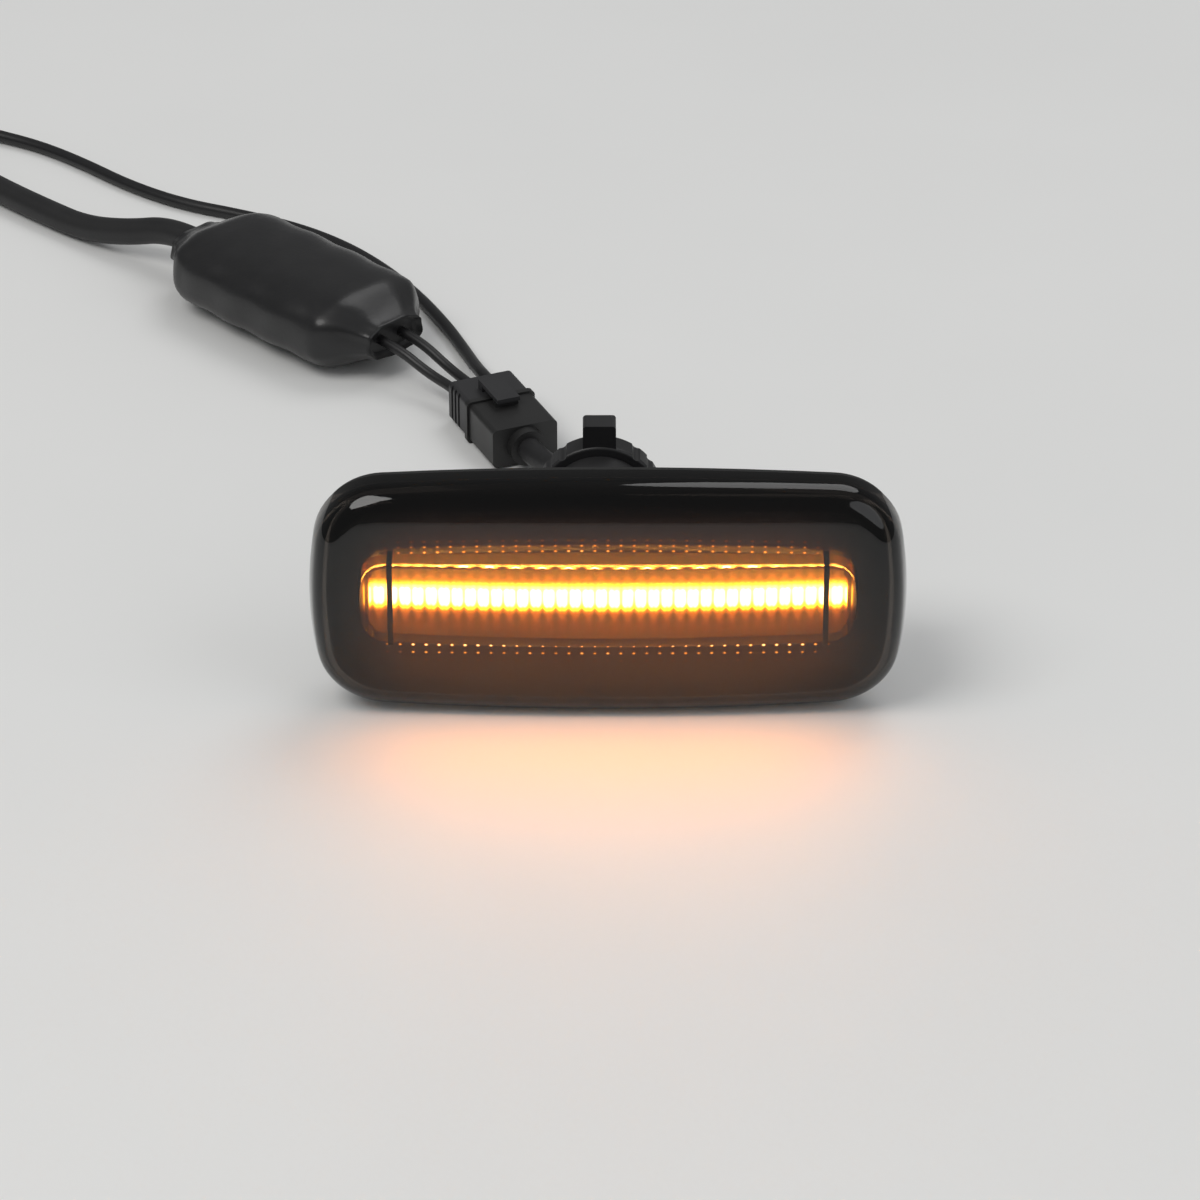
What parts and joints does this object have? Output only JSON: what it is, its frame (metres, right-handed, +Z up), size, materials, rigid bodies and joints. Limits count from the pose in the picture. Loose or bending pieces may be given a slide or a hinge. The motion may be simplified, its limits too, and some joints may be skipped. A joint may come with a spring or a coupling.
{
  "type": "side repeater lamp",
  "caption": "Smoked side repeater lamp for a front wing, lit amber, with a rear twist-in cap, a short cable, an in-line connector, a sleeved module and a vehicle plug.",
  "frame": {"origin": "middle of the lamp's outline on the gasket's back face, which rests on the wing's outer skin", "axes": "+X along the lamp's length, +Y from the outer skin towards the inside of the wing, +Z up with the lamp's long edges level; the lens faces -Y"},
  "size_m": [0.2245, 0.2591, 0.0428],
  "materials": {
    "smoked_lens": "smoked clear acrylic, polished",
    "bezel_black": "gloss black",
    "light_guide": "clear fluted acrylic, lit amber",
    "clip_black": "black",
    "board_green": "fibreglass with green solder resist",
    "led_amber": "lit amber package",
    "screw_steel": "bright zinc",
    "chip_black": "moulded epoxy",
    "resistor_ceramic": "glazed top on a ceramic body",
    "capacitor_can": "plain can",
    "wire_insulation": "black insulation",
    "housing_black": "fine-grained black",
    "gasket_foam": "closed-cell foam",
    "spring_steel": "bright strip",
    "cap_black": "satin black",
    "seal_rubber": "black rubber",
    "grommet_rubber": "black rubber",
    "cable_jacket": "black jacket",
    "connector_black": "satin black",
    "connector_grey": "satin dark grey",
    "shrink_sleeve": "shrink sleeve with a soft gloss",
    "choke_ferrite": "dark ferrite",
    "lock_plastic": "natural",
    "terminal_tin": "tinned"
  },
  "bodies": {
    "root": {"outer_lens": "smoked_lens", "bezel": "bezel_black", "light_bar": "light_guide", "bar_clip_left": "clip_black", "bar_clip_right": "clip_black", "led_board": "board_green", "led_01": "led_amber", "led_02": "led_amber", "led_03": "led_amber", "led_04": "led_amber", "led_05": "led_amber", "led_06": "led_amber", "led_07": "led_amber", "led_08": "led_amber", "led_09": "led_amber", "led_10": "led_amber", "led_11": "led_amber", "led_12": "led_amber", "led_13": "led_amber", "led_14": "led_amber", "led_15": "led_amber", "led_16": "led_amber", "led_17": "led_amber", "led_18": "led_amber", "board_screws": "screw_steel", "driver_chip": "chip_black", "input_diode": "chip_black", "resistors": "resistor_ceramic", "capacitor": "capacitor_can", "inner_leads": "wire_insulation", "housing": "housing_black", "gasket": "gasket_foam", "spring_clip": "spring_steel", "rear_cap": "cap_black", "cap_seal": "seal_rubber", "cable_grommet": "grommet_rubber", "lamp_cable": "cable_jacket", "inline_socket": "connector_black", "inline_plug": "connector_grey", "front_strand": "wire_insulation", "back_strand": "wire_insulation", "bypass_lead": "wire_insulation", "module_sleeve": "shrink_sleeve", "module_board": "board_green", "module_choke": "choke_ferrite", "module_chip": "chip_black", "supply_lead": "cable_jacket", "vehicle_plug": "connector_black", "plug_boot": "grommet_rubber", "plug_lock": "lock_plastic", "plug_terminal_1": "terminal_tin", "plug_terminal_2": "terminal_tin", "plug_terminal_3": "terminal_tin"}
  },
  "joints": []
}
